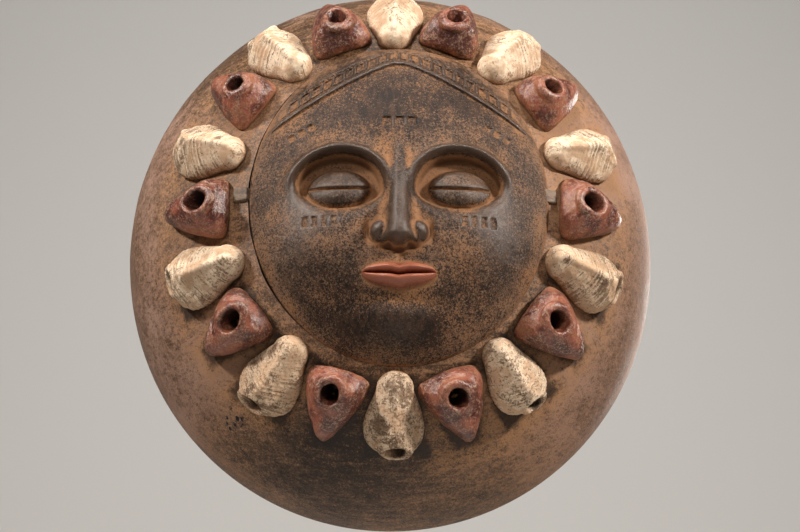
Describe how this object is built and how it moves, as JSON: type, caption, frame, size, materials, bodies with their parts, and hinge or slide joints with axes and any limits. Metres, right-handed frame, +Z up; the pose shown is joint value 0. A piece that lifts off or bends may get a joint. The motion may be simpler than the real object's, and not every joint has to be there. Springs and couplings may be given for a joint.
{
  "type": "wall mask",
  "caption": "Round domed wooden wall mask, hollow at the back, with a calm closed-eyed face let into it and a ring of red and white carved pods.",
  "frame": {"origin": "centre of the flat rim at the back, which rests on the wall", "axes": "+Z up as the mask hangs, +X to the viewer's right, and the face looks along -Y"},
  "size_m": [0.35, 0.1499, 0.377],
  "materials": {
    "board_wood": "worn ochre-brown patina, dusty satin",
    "face_wood": "dark handled patina with ochre dust in the hollows, red-brown lips",
    "tab_wood": "grey-brown worn wood",
    "red_paint": "oxide-red paint on wood, rubbed thin on the lips",
    "white_clay": "chalky white clay over dark-streaked wood",
    "peg_wood": "plain split hardwood"
  },
  "bodies": {
    "root": {"board": "board_wood", "face": "face_wood", "ear_tab_left": "tab_wood", "ear_tab_right": "tab_wood", "red_pod_01": "red_paint", "red_pod_02": "red_paint", "red_pod_03": "red_paint", "red_pod_04": "red_paint", "red_pod_05": "red_paint", "red_pod_06": "red_paint", "red_pod_07": "red_paint", "red_pod_08": "red_paint", "red_pod_09": "red_paint", "red_pod_10": "red_paint", "white_pod_01": "white_clay", "white_pod_02": "white_clay", "white_pod_03": "white_clay", "white_pod_04": "white_clay", "white_pod_05": "white_clay", "white_pod_06": "white_clay", "white_pod_07": "white_clay", "white_pod_08": "white_clay", "white_pod_09": "white_clay", "white_pod_10": "white_clay", "pod_pegs": "peg_wood", "face_pegs": "peg_wood"}
  },
  "joints": []
}
